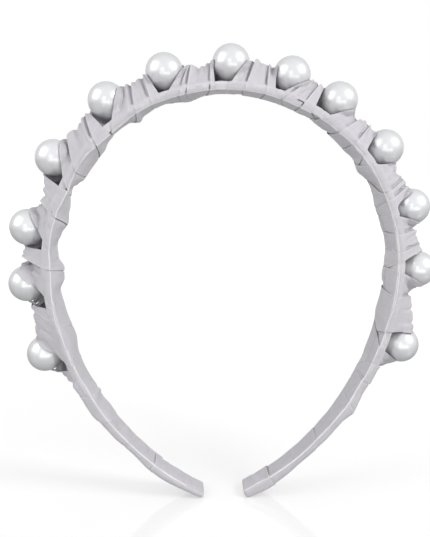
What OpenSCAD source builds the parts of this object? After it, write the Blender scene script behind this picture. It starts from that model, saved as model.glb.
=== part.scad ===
// Pearl headband: a flat open band, wound with satin ribbon, with faux pearls on a thread.
// The crown's inner arc is centred on the origin, +Z points to the top of the head and
// the band's width lies along Y, half on each side of Y = 0. All sizes in millimetres.

/* [Band] */
// inner radius of the crown, where the head sits
crown_r = 56.4; // [50:0.1:65]
// inner radius of each arm, below the crown
arm_r = 93; // [80:1:120]
// heading from the top where the crown's arc turns into the arm's (deg)
crown_end = 95; // [80:1:110]
// heading of the centre of the rounded tip (deg)
tip_heading = 149.6; // [140:0.1:160]
// width of the bare band over the crown
band_w = 13.8; // [10:0.2:20]
// width of the bare band at its tips
tip_w = 7.6; // [6:0.2:14]
// thickness of the bare band over the crown
band_t = 1.7; // [1.2:0.1:3]
// thickness of the bare band at its tips
tip_t = 0.8; // [0.6:0.1:2.5]

/* [Pearls] */
// outer diameter of a pearl
pearl_d = 12; // [8:0.5:14]
// diameter of the drilled hole
bore_d = 0.9; // [0.6:0.05:1.4]
// diameter of the thread
thread_d = 0.8; // [0.5:0.05:1.3]
// room between a pearl and what surrounds it
pearl_room = 0.3; // [0.2:0.05:0.6]

/* [Ribbon] */
// thickness of one layer of satin ribbon
ribbon_t = 0.3; // [0.2:0.05:0.5]
// how far a turn leans round the band between its front edge and its ridge (deg)
turn_lean = 3.2; // [0:0.1:5]
// how far a turn bulges between two pleats
turn_puff = 0.7; // [0:0.05:1.2]
// how far the thread dips where a turn is pulled tight
tight_dip = 2; // [0:0.1:2.4]

/* [Hidden] */
$fn = 96;

// layers, counted outward from the inner curve of the crown: the turns overlap there, so
// their inner run is two layers thick, over one layer of the base wrap
lining_t = 2 * ribbon_t;
core_in = lining_t + ribbon_t;
core_out = core_in + band_t;
wrap_out = core_out + ribbon_t;
bead_off = wrap_out + pearl_room + pearl_d / 2;
pearl_r = pearl_d / 2;
thread_r = thread_d / 2;
core_half = band_w / 2;
wrap_half = core_half + ribbon_t;

// the arm's arc meets the crown's arc without a kink
arm_c = (crown_r - arm_r) * [sin(crown_end), cos(crown_end)];
thinning = (band_t - tip_t) / (1 - cos(tip_heading - crown_end));
arm_back_r = arm_r + core_out - thinning;
arm_back_c = (crown_r + core_out - arm_back_r) * [sin(crown_end), cos(crown_end)];
taper_top = -14;
taper_foot = -80;
arm_inset = 0.03;

// headings of the pearls: an even pitch, moved a little by hand where the stringing is uneven
pearl_n = 13;
pearl_mid = -0.5;
pearl_pitch = 18.02;
pearl_shift = [0, -4.1, -5.7, -2.5, 1.5, 1.5, 2.3, 1.8, -1, 0.1, 1, 1.6, 0];
function pearl_h(i) = pearl_mid + pearl_pitch * (i - 6) + pearl_shift[i];

// where the turns end under each pearl, left and right of it (deg)
notch = [
  [-1.5, 1.2], [-0.2, 0.2], [-1.7, -1.3], [-2.4, -2.0], [-1.0, -0.6], [0.5, 0.9], [-1.4, 0.9],
  [-0.9, -0.5], [-2.6, 0.7], [0, 2.7], [2.2, 2.6], [0.4, 2.4], [0.5, 3.2]
];

// height of the ridge along each group of turns, from its left pearl to its right one
ridge = [
  [3.7, 4.4, 5.6, 6.7, 7.6],
  [11.2, 11.0, 10.3, 9.9, 9.9],
  [10.8, 11.3, 10.8, 10.7, 10.4],
  [9.9, 8.9, 8.1, 8.9, 9.9],
  [10.0, 10.3, 9.9, 10.3, 10.3],
  [10.2, 10.4, 10.4, 10.5, 10.3],
  [9.9, 8.2, 8.8, 9.9, 9.9],
  [10.2, 10.7, 10.4, 10.1, 10.0],
  [9.9, 10.2, 10.5, 10.2, 9.9],
  [9.9, 10.0, 10.2, 10.2, 10.1],
  [9.9, 9.9, 10.1, 10.3, 10.2],
  [9.9, 9.9, 10.4, 11.2, 11.2],
  [9.9, 8.3, 8.7, 10.6, 11.6],
  [7.6, 6.7, 5.6, 4.4, 3.7]
];

// how many turns of ribbon each group has
turns = [2, 2, 2, 3, 3, 3, 3, 3, 3, 3, 3, 4, 3, 2];

// where the thread dips inside each group: how far along, and how much of tight_dip
dip = [
  [0.5, 0], [0.5, 0], [0.5, 0], [0.5, 0.9], [0.5, 0], [0.5, 0], [0.3, 0.85],
  [0.5, 0], [0.5, 0], [0.5, 0], [0.5, 0], [0.5, 0], [0.3, 0.85], [0.5, 0]
];

steps = 18;
end_reach = 8.5;
knot_reach = 5.4;
knot_off = 4.6;
// how far outside a pearl the thread may start to bend
mouth_reach = pearl_room - 0.1;
// how far the room for the band runs past a group's pearls, and down the arms (deg)
past_pearl = 6;
arm_room = 125;

// ---- the band's curve -------------------------------------------------------------------

// a point at a heading, off millimetres outside the inner curve, as [x, z]
function on_band(h, off) =
  abs(h) <= crown_end
    ? (crown_r + off) * [sin(h), cos(h)]
    : [
        sign(h) * (arm_c[0] + (arm_r + off) * sin(abs(h))),
        arm_c[1] + (arm_r + off) * cos(abs(h))
      ];

// degrees of heading taken up by one millimetre at that offset
function deg_per_mm(h, off) = 180 / (PI * ((abs(h) <= crown_end ? crown_r : arm_r) + off));

// half of the bare band's width at a height
function core_half_at(z) =
  z >= taper_top ? core_half
  : core_half + (tip_w / 2 - core_half) * (taper_top - z) / (taper_top - taper_foot);

// stands what is drawn flat on the XY plane up into the XZ plane
module upright() {
  rotate([90, 0, 0]) children();
}

// a slab curved round the origin between two headings
module arc_slab(r0, r1, half, h0, h1) {
  rotate([0, 0, 90 - h1])
    rotate_extrude(angle = h1 - h0)
      translate([r0, -half])
        square([r1 - r0, 2 * half]);
}

// the tapering outline of the band seen from the side, as a long prism
module side_taper(grow) {
  top = core_half + grow;
  foot = core_half_at(-100) + grow;
  rotate([90, 0, 90])
    translate([0, 0, -90])
      linear_extrude(height = 180)
        polygon([
          [90, -top], [taper_top, -top], [-100, -foot],
          [-100, foot], [taper_top, top], [90, top]
        ]);
}

// an arm's full thickness, which thins towards the tip, between two headings
module arm_arc(inner, outer, grow, h0, h1) {
  back_r = arm_back_r + outer - core_out;
  difference() {
    translate(arm_back_c)
      arc_slab(back_r - 9, back_r, core_half + grow, h0, h1);
    translate(arm_c)
      cylinder(h = 3 * band_w, r = arm_r + inner, center = true);
  }
}

// one arm between two headings, as it lies on the right
module arm_slab(inner, outer, grow, h0, h1) {
  intersection() {
    arm_arc(inner, outer, grow, h0, h1);
    side_taper(grow);
  }
}

// the rounded end of an arm, longer by grow all round
module tip_round(inner, outer, grow) {
  r = core_half_at(on_band(tip_heading, 0)[1]) + grow - 0.05;
  tip = on_band(tip_heading, -6);
  intersection() {
    arm_arc(inner, outer, grow, tip_heading - 2, tip_heading + 5);
    translate([tip[0], tip[1], 0])
      rotate([0, 0, 90 - tip_heading])
        rotate([0, 90, 0])
          cylinder(h = 20, r = r);
  }
}

// the whole band between two headings that may lie past the crown on both sides
module band_part(inner, outer, grow, h0, h1) {
  arc_slab(crown_r + inner, crown_r + outer, core_half + grow,
           max(h0, -crown_end), min(h1, crown_end));
  if (h1 > crown_end)
    arm_slab(inner + arm_inset, outer - arm_inset, grow, crown_end - 0.5, h1);
  if (h0 < -crown_end)
    mirror([1, 0, 0])
      arm_slab(inner + arm_inset, outer - arm_inset, grow, crown_end - 0.5, -h0);
}

// ---- rigid pieces -----------------------------------------------------------------------

module core_shape() {
  upright() {
    band_part(core_in, core_out, 0, -tip_heading, tip_heading);
    for (side = [0, 1])
      mirror([side, 0, 0])
        tip_round(core_in + arm_inset, core_out - arm_inset, 0);
  }
}

module core_band() {
  color([0.86, 0.86, 0.84]) core_shape();
}

// points of the thread in the XZ plane: out of one pearl, down to the dip, into the next
function mouth(i, side) =
  let (c = on_band(pearl_h(i), bead_off), h = pearl_h(i), reach = pearl_r + mouth_reach)
    [c[0] + side * reach * cos(h), c[1] - side * reach * sin(h)];

function low_point(g) =
  let (f = dip[g][0], a = mouth(g - 1, 1), b = mouth(g, -1), m = a + f * (b - a))
    m - tight_dip * dip[g][1] * m / norm(m);

module rod_between(a, b, r) {
  d = b - a;
  translate([a[0], a[1], 0])
    rotate([0, 0, atan2(d[1], d[0])])
      rotate([0, 90, 0])
        cylinder(h = norm(d), r = r);
}

// where an end of the thread is knotted, on the band under the end turns
function knot(end) =
  end < 0 ? on_band(pearl_h(0) - knot_reach, knot_off)
          : on_band(pearl_h(pearl_n - 1) + knot_reach, knot_off);

// the knot's swelling along the thread, as [distance past its middle, radius]
knot_shape = [[0.8, 0.25], [0.45, 0.7], [0, 0.85], [-0.45, 0.7], [-0.8, thread_r]];

function knot_rings(end) =
  let (
    out = end < 0 ? mouth(0, -1) : mouth(pearl_n - 1, 1),
    d = (knot(end) - out) / norm(knot(end) - out)
  ) [for (s = knot_shape) [knot(end) + s[0] * d, s[1]]];

// the whole thread, as [point, radius] from knot to knot
function route() = concat(
  knot_rings(-1),
  [for (i = [0 : pearl_n - 1])
    each concat(
      [[mouth(i, -1), thread_r], [mouth(i, 1), thread_r]],
      i < pearl_n - 1 && dip[i + 1][1] > 0 ? [[low_point(i + 1), thread_r]] : []
    )],
  [for (i = [4 : -1 : 0]) knot_rings(1)[i]]
);

thread_sides = 10;

// a tube of varying radius swept along points of the XZ plane
module swept_tube(path, sides) {
  n = len(path);
  heading = [for (i = [0 : n - 1])
    let (d = path[min(i + 1, n - 1)][0] - path[max(i - 1, 0)][0]) d / norm(d)];
  points = [for (i = [0 : n - 1], k = [0 : sides - 1])
    let (
      a = 360 * k / sides,
      c = path[i][0] + path[i][1] * cos(a) * [-heading[i][1], heading[i][0]]
    ) [c[0], path[i][1] * sin(a), c[1]]];
  walls = [for (i = [0 : n - 2], k = [0 : sides - 1])
    let (a = i * sides + k, b = i * sides + (k + 1) % sides)
      each [[a, b + sides, a + sides], [a, b, b + sides]]];
  ends = [
    [for (k = [sides - 1 : -1 : 0]) k],
    [for (k = [0 : sides - 1]) (n - 1) * sides + k]
  ];
  polyhedron(points = points, faces = concat(walls, ends), convexity = 10);
}

module thread_shape() {
  swept_tube(route(), thread_sides);
}

// room for the thread's end and its knot inside an end group
module knot_room(end) {
  out = end < 0 ? mouth(0, -1) : mouth(pearl_n - 1, 1);
  upright() {
    rod_between(out, knot(end), thread_r + 0.02);
    translate([knot(end)[0], knot(end)[1], 0])
      sphere(r = 0.95);
  }
}

// room for the thread inside one group of turns
module thread_way(g) {
  way_r = thread_r + 0.02;
  low = dip[g][1] > 0 ? [[low_point(g), way_r]] : [];
  swept_tube(concat([[mouth(g - 1, 1), way_r]], low, [[mouth(g, -1), way_r]]), thread_sides);
}

module thread() {
  color([0.9, 0.9, 0.88]) thread_shape();
}

// a pearl strung along the band's curve, with both ends of its hole eased
module pearl(i) {
  c = on_band(pearl_h(i), bead_off);
  color([0.96, 0.95, 0.94])
    translate([c[0], 0, c[1]])
      rotate([0, pearl_h(i), 0])
        difference() {
          sphere(r = pearl_r);
          rotate([0, 90, 0])
            cylinder(h = 3 * pearl_r, r = bore_d / 2, center = true);
          for (side = [-1, 1])
            rotate([0, 90 * side, 0])
              translate([0, 0, pearl_r - 0.35])
                cylinder(h = 0.5, r1 = bore_d / 2 - 0.1, r2 = bore_d / 2 + 0.4);
        }
}

// ---- ribbon -----------------------------------------------------------------------------

// the first layer, wound flat over the crown under the pearls
module base_wrap() {
  color([0.72, 0.71, 0.73])
    difference() {
      upright()
        band_part(lining_t, wrap_out, ribbon_t,
                  pearl_h(0) - end_reach, pearl_h(pearl_n - 1) + end_reach);
      core_shape();
    }
}

module arm_wrap(h0) {
  difference() {
    upright()
      arm_slab(0.1, wrap_out + 0.2, 2 * ribbon_t, h0, tip_heading - 5);
    core_shape();
  }
}

module arm_wrap_left() {
  color([0.76, 0.75, 0.77])
    mirror([1, 0, 0])
      arm_wrap(-pearl_h(0) + end_reach);
}

module arm_wrap_right() {
  color([0.76, 0.75, 0.77])
    arm_wrap(pearl_h(pearl_n - 1) + end_reach);
}

// the ribbon's end, folded round the tip
module tip_fold() {
  difference() {
    upright() {
      arm_slab(0, wrap_out + 0.1, 2 * ribbon_t, tip_heading - 5, tip_heading);
      tip_round(0, wrap_out + 0.1, 2 * ribbon_t);
    }
    core_shape();
  }
}

module tip_fold_left() {
  color([0.8, 0.79, 0.81]) mirror([1, 0, 0]) tip_fold();
}

module tip_fold_right() {
  color([0.8, 0.79, 0.81]) tip_fold();
}

// headings where a group of turns starts and ends, at the band and at the ridge
function base_span(g) = [
  g == 0 ? pearl_h(0) - end_reach : pearl_h(g - 1) + notch[g - 1][1],
  g == pearl_n ? pearl_h(pearl_n - 1) + end_reach : pearl_h(g) + notch[g][0]
];

function ridge_span(g) =
  let (gap = pearl_r - 0.4)
    [
      g == 0 ? pearl_h(0) - end_reach
             : pearl_h(g - 1) + gap * deg_per_mm(pearl_h(g - 1), bead_off),
      g == pearl_n ? pearl_h(pearl_n - 1) + end_reach
                   : pearl_h(g) - gap * deg_per_mm(pearl_h(g), bead_off)
    ];

function mix(a, b, t) = a + (b - a) * t;

// a list read as a curve, with t from 0 to 1 over its whole length
function along(list, t) =
  let (s = t * (len(list) - 1), i = min(floor(s), len(list) - 2))
    mix(list[i], list[i + 1], s - i);

// how full a turn is at t: 0 in each pleat and 1 between two pleats
function lobe(g, t) =
  let (f = t * turns[g], p = f - floor(f)) 1 - (2 * p - 1) * (2 * p - 1);

// the rings run up one side of a turn: share of the way to the ridge, and share of the puff
rise = [0, 0, 0, 0, 0.2, 0.45, 0.7, 0.9, 1];
puff = [0, 0.1, 0.4, 0.4, 0.9, 1, 0.6, 0.2, 0];
foot_off = [-0.05, 0.2, 1.3, 3.0];

function ring_point(g, t, k, side) =
  let (
    top = along(ridge[g], t),
    up = rise[k],
    off = k < 4 ? foot_off[k] : mix(foot_off[3], top, up),
    mid = mix(along(base_span(g), t), along(ridge_span(g), t), up),
    wide = core_half_at(on_band(mid, off)[1]) + 2 * ribbon_t,
    y = mix(wide, 0.9, up) + turn_puff * puff[k] * lobe(g, t),
    p = on_band(mid + side * lean_at(g, t) * y / wide_crown, off)
  ) [p[0], side * y, p[1]];

// the lean dies away where the end groups run into the arms' wraps
function lean_at(g, t) = turn_lean * (g == 0 ? t : g == pearl_n ? 1 - t : 1);

wide_crown = core_half + 2 * ribbon_t;
half_ring = len(rise);
ring_n = 2 * half_ring;

function ring(g, t) = [
  for (k = [0 : half_ring - 1]) ring_point(g, t, k, -1),
  for (k = [half_ring - 1 : -1 : 0]) ring_point(g, t, k, 1)
];

function wall_faces() = [
  for (s = [0 : steps - 1], k = [0 : ring_n - 1])
    let (a = s * ring_n + k, b = s * ring_n + (k + 1) % ring_n)
      each [[a, b, b + ring_n], [a, b + ring_n, a + ring_n]]
];

// an end is closed rung by rung, from one side of the ring to the other
function end_faces(base, flip) = [
  for (k = [0 : half_ring - 2])
    let (
      a = base + k, b = base + k + 1,
      c = base + ring_n - 2 - k, d = base + ring_n - 1 - k
    )
      each (flip ? [[a, d, c], [a, c, b]] : [[a, b, c], [a, c, d]])
];

module turns_loft(g) {
  points = [for (s = [0 : steps]) each ring(g, s / steps)];
  polyhedron(
    points = points,
    faces = concat(wall_faces(), end_faces(0, true), end_faces(steps * ring_n, false)),
    convexity = 6
  );
}

// room cut for a pearl's round side
module pearl_seat(i) {
  if (i >= 0 && i < pearl_n) {
    c = on_band(pearl_h(i), bead_off);
    translate([c[0], 0, c[1]]) sphere(r = pearl_r + pearl_room);
  }
}

// cuts the end groups off flat where the arms' wraps begin
module arm_room_past(i) {
  end = abs(pearl_h(i)) + end_reach;
  mirror([i == 0 ? 1 : 0, 0, 0])
    upright()
      arm_arc(-2, bead_off, 2 * ribbon_t + 1, end, end + past_pearl);
}

module turns_group(g) {
  color([0.78, 0.77, 0.79])
    difference() {
      turns_loft(g);
      rotate([90, 0, 0])
        cylinder(h = 3 * band_w, r = crown_r, center = true);
      upright()
        if (g > 1 && g < pearl_n - 1)
          arc_slab(crown_r + lining_t, crown_r + wrap_out, wrap_half,
                   pearl_h(g - 1) - past_pearl, pearl_h(g) + past_pearl);
        else
          band_part(lining_t, wrap_out, ribbon_t, -arm_room, arm_room);
      pearl_seat(g - 1);
      pearl_seat(g);
      if (g > 0 && g < pearl_n)
        thread_way(g);
      if (g == 0 || g == pearl_n) {
        knot_room(g == 0 ? -1 : 1);
        arm_room_past(g == 0 ? 0 : pearl_n - 1);
      }
    }
}

core_band();
base_wrap();
thread();
arm_wrap_left();
arm_wrap_right();
tip_fold_left();
tip_fold_right();
turns_group(0);  // turns_00
turns_group(1);  // turns_01
turns_group(2);  // turns_02
turns_group(3);  // turns_03
turns_group(4);  // turns_04
turns_group(5);  // turns_05
turns_group(6);  // turns_06
turns_group(7);  // turns_07
turns_group(8);  // turns_08
turns_group(9);  // turns_09
turns_group(10);  // turns_10
turns_group(11);  // turns_11
turns_group(12);  // turns_12
turns_group(13);  // turns_13
pearl(0);  // pearl_01
pearl(1);  // pearl_02
pearl(2);  // pearl_03
pearl(3);  // pearl_04
pearl(4);  // pearl_05
pearl(5);  // pearl_06
pearl(6);  // pearl_07
pearl(7);  // pearl_08
pearl(8);  // pearl_09
pearl(9);  // pearl_10
pearl(10);  // pearl_11
pearl(11);  // pearl_12
pearl(12);  // pearl_13
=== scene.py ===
"""The pearl headband, dressed: satin ribbon turns, faux pearls on a twisted thread, and a studio."""
import math

import bpy
import numpy as np
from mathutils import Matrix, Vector


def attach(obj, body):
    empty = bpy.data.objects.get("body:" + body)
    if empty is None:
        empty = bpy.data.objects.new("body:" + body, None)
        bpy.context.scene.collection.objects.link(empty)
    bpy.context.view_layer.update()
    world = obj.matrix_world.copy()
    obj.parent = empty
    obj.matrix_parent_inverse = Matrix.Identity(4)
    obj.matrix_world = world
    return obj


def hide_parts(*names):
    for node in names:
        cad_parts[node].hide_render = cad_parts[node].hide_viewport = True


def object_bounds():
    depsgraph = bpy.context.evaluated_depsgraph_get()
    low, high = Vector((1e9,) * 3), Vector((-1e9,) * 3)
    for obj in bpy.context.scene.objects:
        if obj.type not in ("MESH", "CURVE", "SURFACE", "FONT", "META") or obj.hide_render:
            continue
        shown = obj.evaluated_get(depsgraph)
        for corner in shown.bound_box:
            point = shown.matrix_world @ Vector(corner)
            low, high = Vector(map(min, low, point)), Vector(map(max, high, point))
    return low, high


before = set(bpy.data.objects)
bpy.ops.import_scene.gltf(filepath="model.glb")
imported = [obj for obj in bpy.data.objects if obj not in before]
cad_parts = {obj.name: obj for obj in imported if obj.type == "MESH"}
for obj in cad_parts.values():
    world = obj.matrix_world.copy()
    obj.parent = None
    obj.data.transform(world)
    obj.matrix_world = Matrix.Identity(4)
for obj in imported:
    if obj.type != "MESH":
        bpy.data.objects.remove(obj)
cad_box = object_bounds()
scene = bpy.context.scene

MM = 0.001
WHITE = (1.0, 1.0, 1.0, 1)

# ---- the band's curve, in millimetres and degrees ----

CROWN_R = 56.4
ARM_R = 93.0
CROWN_END = 95.0
TIP_HEADING = 149.6
CROWN_END_WAY = np.array([math.sin(math.radians(CROWN_END)), math.cos(math.radians(CROWN_END))])
ARM_C = (CROWN_R - ARM_R) * CROWN_END_WAY
# half the band's width over the crown and at the tips, and the heights between which it tapers
CORE_HALF = 6.9
TIP_HALF = 3.8
TAPER_TOP = -14.0
TAPER_FOOT = -80.0
# the band's thickness over the crown and at the tips, and its outer face over the crown
BAND_T = 1.7
TIP_T = 0.8
CORE_OUT = 2.6
THINNING = (BAND_T - TIP_T) / (1 - math.cos(math.radians(TIP_HEADING - CROWN_END)))
ARM_BACK_R = ARM_R + CORE_OUT - THINNING
ARM_BACK_C = (CROWN_R + CORE_OUT - ARM_BACK_R) * CROWN_END_WAY

PEARL_HEADINGS = [
    -108.62, -94.7, -78.28, -57.06, -35.04, -17.02, 1.8, 19.32, 34.54, 53.66, 72.58, 91.2, 107.62,
]
PEARL_R = 6.0
BORE_R = 0.45
BEAD_OFF = 9.2
MOUTH_REACH = 0.2

RIBBON_THICK = 0.16
# the least width that a ribbon's flat size is given as, in metres
# the turns' room round the bare band, and how far out and aside their shoulders stand
TURN_ROOM = 0.6
SHOULDER_ROOM = 0.25
SHOULDER_OFF = 2.2
# the base wrap's room round the bare band, its outer face and its rounded corners
BASE_ROOM = 0.56
BASE_TOP = 3.3
BASE_CORNER = 1.3
# how far a turn's edge lies under the next turn (deg), and the run over which it sinks there
EDGE_TUCK = 0.7
LAP = 0.9
# room between the ribbon and a pearl, and what each layer on top adds to it
PEARL_GAP = 0.3
LAYER_GAP = 0.2


def on_band(heading, off, y=0.0):
    """Points at a heading, off outside the inner curve and y across it, as (..., 3)."""
    heading, off, y = np.broadcast_arrays(heading, off, y)
    turn = np.radians(np.abs(heading))
    side = np.where(heading < 0, -1.0, 1.0)
    arm = np.abs(heading) > CROWN_END
    reach = np.where(arm, ARM_R, CROWN_R) + off
    x = side * (np.where(arm, ARM_C[0], 0.0) + reach * np.sin(turn))
    z = np.where(arm, ARM_C[1], 0.0) + reach * np.cos(turn)
    return np.stack([x, y, z], axis=-1)


PEARL_CENTRES = on_band(PEARL_HEADINGS, BEAD_OFF)


def along_crown(heading):
    """The direction in which the thread passes a pearl at a heading."""
    turn = math.radians(heading)
    return np.array([math.cos(turn), 0.0, -math.sin(turn)])


def mm_per_degree(heading, off=4.0):
    reach = np.where(np.abs(heading) > CROWN_END, ARM_R, CROWN_R) + off
    return math.pi / 180 * reach


def core_half_at(heading):
    """Half the bare band's width at a heading."""
    z = on_band(heading, 0.0)[..., 2]
    low = CORE_HALF + (TIP_HALF - CORE_HALF) * (TAPER_TOP - z) / (TAPER_TOP - TAPER_FOOT)
    return np.where(z >= TAPER_TOP, CORE_HALF, low)


def smooth(t):
    t = np.clip(t, 0, 1)
    return t * t * (3 - 2 * t)


def eased(heading, table):
    """A table of (heading, value) read with a soft start and stop at each of its entries."""
    places, values = (np.array(column, dtype=float) for column in zip(*table))
    index = np.clip(np.searchsorted(places, heading) - 1, 0, len(places) - 2)
    share = smooth((heading - places[index]) / (places[index + 1] - places[index]))
    return values[index] + share * (values[index + 1] - values[index])


def read_off(heading, table):
    """A table of (heading, value) read along straight lines between its entries."""
    return np.interp(heading, *zip(*table))


def bump(distance, width):
    return np.exp(-((distance / width) ** 2))


# ---- node trees ----


def join(tree, node, inputs):
    """Links the inputs that are given as sockets, and sets the others."""
    for key, value in inputs.items():
        if isinstance(value, Value):
            value = value.socket
        if isinstance(value, bpy.types.NodeSocket):
            tree.links.new(value, node.inputs[key])
        else:
            node.inputs[key].default_value = value


def add_node(tree, kind, inputs=None, **settings):
    node = tree.nodes.new(kind)
    for key, value in settings.items():
        setattr(node, key, value)
    join(tree, node, inputs or {})
    return node


def maths(operation, swapped=False):
    """A method that adds one Math node; swapped puts what the method is given first."""

    def method(self, *others):
        order = [*others, self] if swapped else [self, *others]
        return self.material.add("ShaderNodeMath", dict(enumerate(order)), operation=operation)

    return method


class Value:
    """A socket that takes part in sums and products, each of which adds its Math node."""

    def __init__(self, material, socket):
        self.material = material
        self.socket = socket

    __add__ = maths("ADD")
    __radd__ = maths("ADD", swapped=True)
    __sub__ = maths("SUBTRACT")
    __rsub__ = maths("SUBTRACT", swapped=True)
    __mul__ = maths("MULTIPLY")
    __rmul__ = maths("MULTIPLY", swapped=True)
    __pow__ = maths("POWER")
    sine = maths("SINE")
    size = maths("ABSOLUTE")
    most = maths("MAXIMUM")

    def between(self, low, high):
        """0 below low, 1 above high, smooth from one to the other."""
        limits = {"Value": self, "From Min": low, "From Max": high}
        return self.material.add("ShaderNodeMapRange", limits, "Result", interpolation_type="SMOOTHSTEP")


class Material:
    """A node material with one Principled shader; every other node comes from add."""

    def __init__(self, name, **settings):
        self.data = bpy.data.materials.new(name)
        self.data.use_nodes = True
        self.tree = self.data.node_tree
        self.feed({key.replace("_", " "): value for key, value in settings.items()})

    def feed(self, inputs):
        join(self.tree, self.tree.nodes["Principled BSDF"], inputs)

    def add(self, kind, inputs=None, output=0, **settings):
        return Value(self, add_node(self.tree, kind, inputs, **settings).outputs[output])

    def mix(self, factor, first, second):
        """Two colours mixed: first where factor is 0 and second where it is 1."""
        return self.add("ShaderNodeMix", {0: factor, 6: first, 7: second}, 2, data_type="RGBA")

    def noise(self, scale, detail=2.0, place=None):
        place = place or self.add("ShaderNodeTexCoord", output="Object")
        return self.add("ShaderNodeTexNoise", {"Vector": place, "Scale": scale, "Detail": detail})

    def relief(self, height, distance, strength):
        inputs = {"Height": height, "Distance": distance, "Strength": strength}
        self.feed({"Normal": self.add("ShaderNodeBump", inputs)})

    def paint(self, colour):
        self.feed({"Base Color": colour})


# ---- materials ----


def satin(name, light, shade):
    """Woven satin: long shiny floats along the ribbon, a firm selvage at each edge, with painted highlight
    along each selvage and along the ribbon's folds.
    """
    gloss, warp, weft = 0.36, 0.16 * MM, 0.42 * MM
    material = Material(
        name, Roughness=gloss, Specular_IOR_Level=0.55, Sheen_Weight=0.12, Sheen_Roughness=0.4
    )
    # the cloth's own map holds metres across and along the ribbon
    flat = material.add("ShaderNodeUVMap", uv_map="cloth")
    across, along = (material.add("ShaderNodeSeparateXYZ", {0: flat}, axis) for axis in "XY")
    floats = (across * (2 * math.pi / warp)).sine()
    picks = (along * (2 * math.pi / weft)).sine()
    drawn_out = material.add("ShaderNodeMapping", {0: flat, "Scale": (2600.0, 120.0, 1.0)})
    slub = material.noise(1.0, 2.0, drawn_out)
    tone = material.noise(420.0, 3.0) * 0.5 + slub * 0.5
    # a thin line along each selvage: relief for the selvage itself, and a painted highlight in the colour
    edge = 1 - (across - 0.35 * MM).size().between(0.05 * MM, 0.3 * MM)
    # painted highlight: the attribute marks where the ribbon is folded round the band's edge
    fold_highlight = material.add("ShaderNodeAttribute", output="Fac", attribute_name="fold_highlight")
    # painted highlight along the selvages and the folds, mixed towards white over the satin's tone
    bright = (edge * 0.22).most(fold_highlight)
    material.paint(material.mix(bright, material.mix(tone, shade, light), WHITE))
    material.feed({"Roughness": gloss - 0.05 + slub * 0.1})
    material.relief(floats * 0.3 + slub * 0.9 + picks * edge * 0.5, 0.08 * MM, 0.8)
    return material.data


def nacre(name, body, shaded_rim):
    """A faux pearl: opaque white body under a clear pearly coat, with painted shade that greys it towards
    its rim.
    """
    material = Material(
        name, Roughness=0.32, Metallic=0.35, Coat_Weight=0.5, Coat_Roughness=0.08, Coat_IOR=1.5
    )
    facing = material.add("ShaderNodeLayerWeight", {"Blend": 0.5}, "Facing")
    cloud = material.noise(160.0, 3.0)
    # painted shade: the colour goes from the body's white to a darker grey towards the rim
    material.paint(material.mix(facing ** 1.4 * 0.95 + (cloud - 0.5) * 0.12, body, shaded_rim))
    material.relief(material.noise(900.0, 2.0), 0.01 * MM, 0.25)
    return material.data


def grained(name, colour, scale, dark, depth, strength, **settings):
    """One colour with a fine grain, dark times as bright where the grain is high."""
    material = Material(name, **settings)
    grain = material.noise(scale, 3.0)
    material.paint(material.mix(grain, colour, tuple(dark * c for c in colour[:3]) + (1,)))
    material.relief(grain, depth * MM, strength)
    return material.data


SATIN_TURNS = satin("satin_turns", (0.71, 0.695, 0.735, 1), (0.55, 0.535, 0.57, 1))
# the base wrap: the same satin as the turns, painted lighter to stand for it lit
SATIN_BASE_LIT = satin("satin_base_lit", (0.77, 0.755, 0.78, 1), (0.60, 0.585, 0.61, 1))
NACRE = nacre("nacre", (0.77, 0.775, 0.795, 1), (0.42, 0.42, 0.44, 1))
BAND_PLASTIC = grained("band_plastic", (0.72, 0.71, 0.69, 1), 900.0, 0.92, 0.02, 0.4, Roughness=0.5)
THREAD_FIBRE = grained(
    "thread_fibre", (0.62, 0.61, 0.62, 1), 5000.0, 0.75, 0.03, 0.6, Roughness=0.7, Sheen_Weight=0.2
)


# ---- making pieces ----


def in_scene(name, data):
    """A new object in the scene, holding a mesh, curve, camera or lamp."""
    made = bpy.data.objects.new(name, data)
    scene.collection.objects.link(made)
    return made


def dress(piece, body, node):
    """Smooths a piece, hangs it on the body it rides on, and hides the solid it stands for."""
    piece.data.polygons.foreach_set("use_smooth", [True] * len(piece.data.polygons))
    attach(piece, body)
    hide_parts(node)


def new_piece(name, points, faces, material):
    """A mesh object from points in millimetres."""
    mesh = bpy.data.meshes.new(name)
    mesh.from_pydata((np.asarray(points) * MM).tolist(), [], faces)
    mesh.materials.append(material)
    return in_scene(name, mesh)


def ribbon_piece(node, points, faces, material, cloth, fold_highlight):
    """A ribbon with its thickness, in place of one of the frame's solids.

    cloth gives each point's metres across and along the ribbon, and the last argument the painted
    highlight laid along its fold round the band's edge there.
    """
    piece = new_piece(node + "_ribbon", points, faces, material)
    mesh = piece.data
    corner_points = np.empty(len(mesh.loops), dtype=int)
    mesh.loops.foreach_get("vertex_index", corner_points)
    mesh.uv_layers.new(name="cloth").data.foreach_set("uv", cloth[corner_points].ravel())
    mesh.attributes.new("fold_highlight", "FLOAT", "POINT").data.foreach_set("value", fold_highlight)
    wall = piece.modifiers.new("cloth_thickness", "SOLIDIFY")
    wall.thickness = RIBBON_THICK * MM
    wall.offset = -1
    wall.use_even_offset = False
    dress(piece, "band", node)
    return piece


def grid_faces(rows, columns, strip=False, closed=False):
    """Faces between rows of points, each row a ring or else a strip; closed joins the two ends."""
    faces = []
    for row in range(rows if closed else rows - 1):
        this, following = row * columns, (row + 1) % rows * columns
        for k in range(columns - 1 if strip else columns):
            after = (k + 1) % columns
            faces.append([this + k, this + after, following + after, following + k])
    return faces


# ---- wound ribbon ----

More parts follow.
